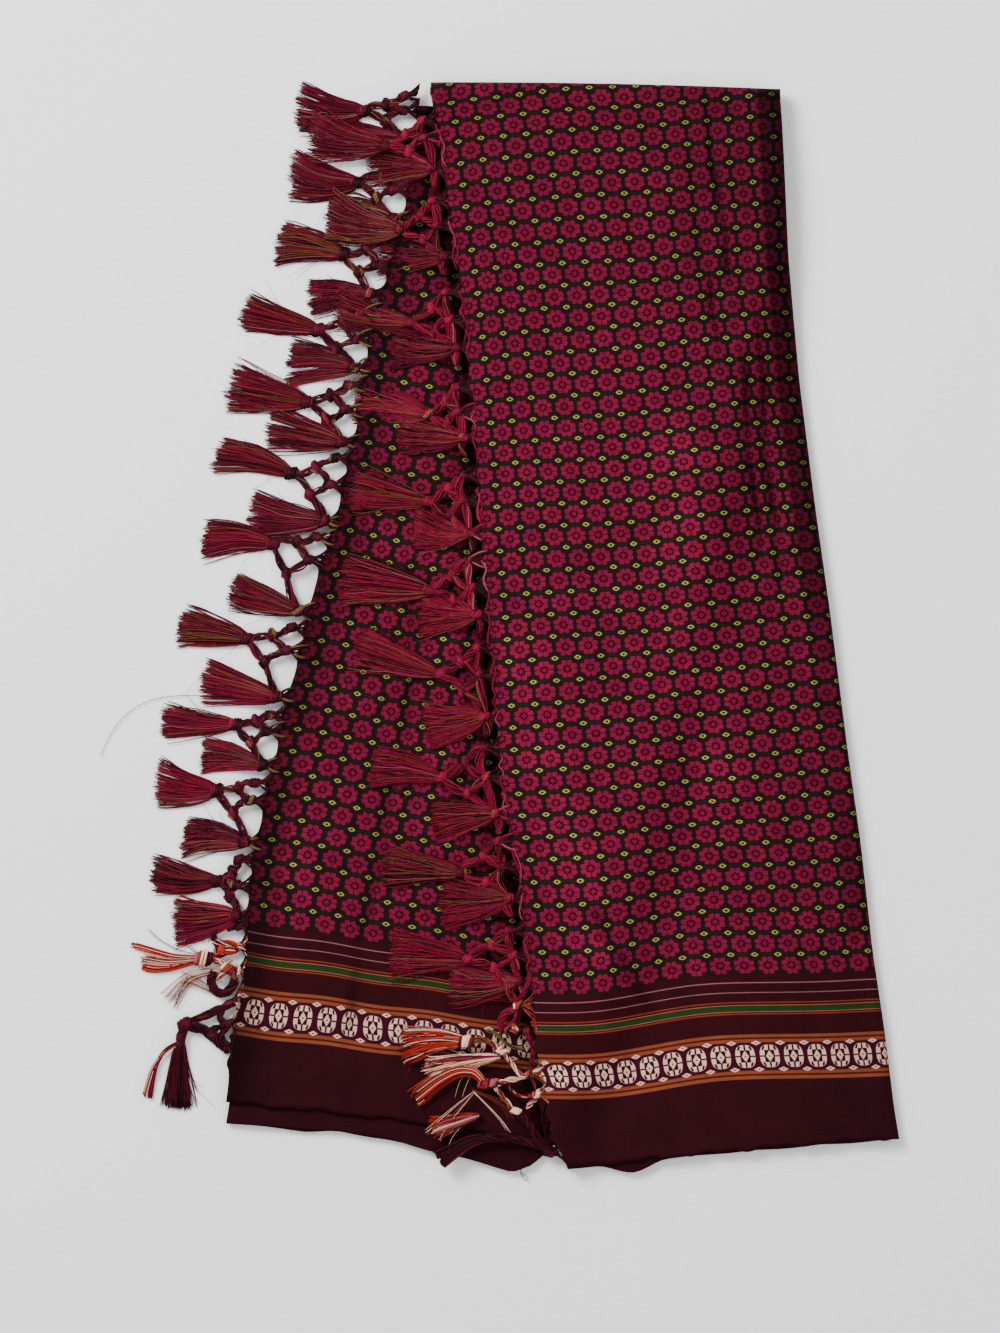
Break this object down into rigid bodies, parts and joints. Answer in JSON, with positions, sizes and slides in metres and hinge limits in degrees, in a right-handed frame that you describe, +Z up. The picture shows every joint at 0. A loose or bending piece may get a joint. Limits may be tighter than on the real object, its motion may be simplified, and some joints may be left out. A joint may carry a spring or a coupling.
{
  "type": "folded dupatta stole",
  "caption": "Handloom dupatta stole folded in a flat stack and laid in a narrow V, with flower rows, a striped border and a knotted net fringe with tassels.",
  "frame": {"origin": "middle of the whole object's box, on the surface it lies on", "axes": "+Z up from the surface to the shown face, +Y from the selvedges to the top fold, +X to the side away from the fringe"},
  "size_m": [0.324, 0.4616, 0.0128],
  "materials": {
    "woven_cloth": "soft cotton handloom with a low sheen",
    "layered_cloth": "matte cotton",
    "fringe_thread": "twisted and loose thread, slightly glossy"
  },
  "bodies": {
    "root": {"front_stretch": "woven_cloth", "front_layers": "layered_cloth", "fold_layers": "layered_cloth", "back_stretch": "woven_cloth", "back_layers": "layered_cloth", "left_fringe_01": "fringe_thread", "left_fringe_02": "fringe_thread", "left_fringe_03": "fringe_thread", "left_fringe_04": "fringe_thread", "left_fringe_05": "fringe_thread", "left_fringe_06": "fringe_thread", "left_fringe_07": "fringe_thread", "left_fringe_08": "fringe_thread", "left_fringe_09": "fringe_thread", "left_fringe_10": "fringe_thread", "left_fringe_11": "fringe_thread", "left_fringe_12": "fringe_thread", "left_fringe_13": "fringe_thread", "front_fringe_01": "fringe_thread", "front_fringe_02": "fringe_thread", "front_fringe_03": "fringe_thread", "front_fringe_04": "fringe_thread", "front_fringe_05": "fringe_thread", "front_fringe_06": "fringe_thread", "front_fringe_07": "fringe_thread", "front_fringe_08": "fringe_thread", "front_fringe_09": "fringe_thread", "front_fringe_10": "fringe_thread", "front_fringe_11": "fringe_thread", "front_fringe_12": "fringe_thread"}
  },
  "joints": []
}
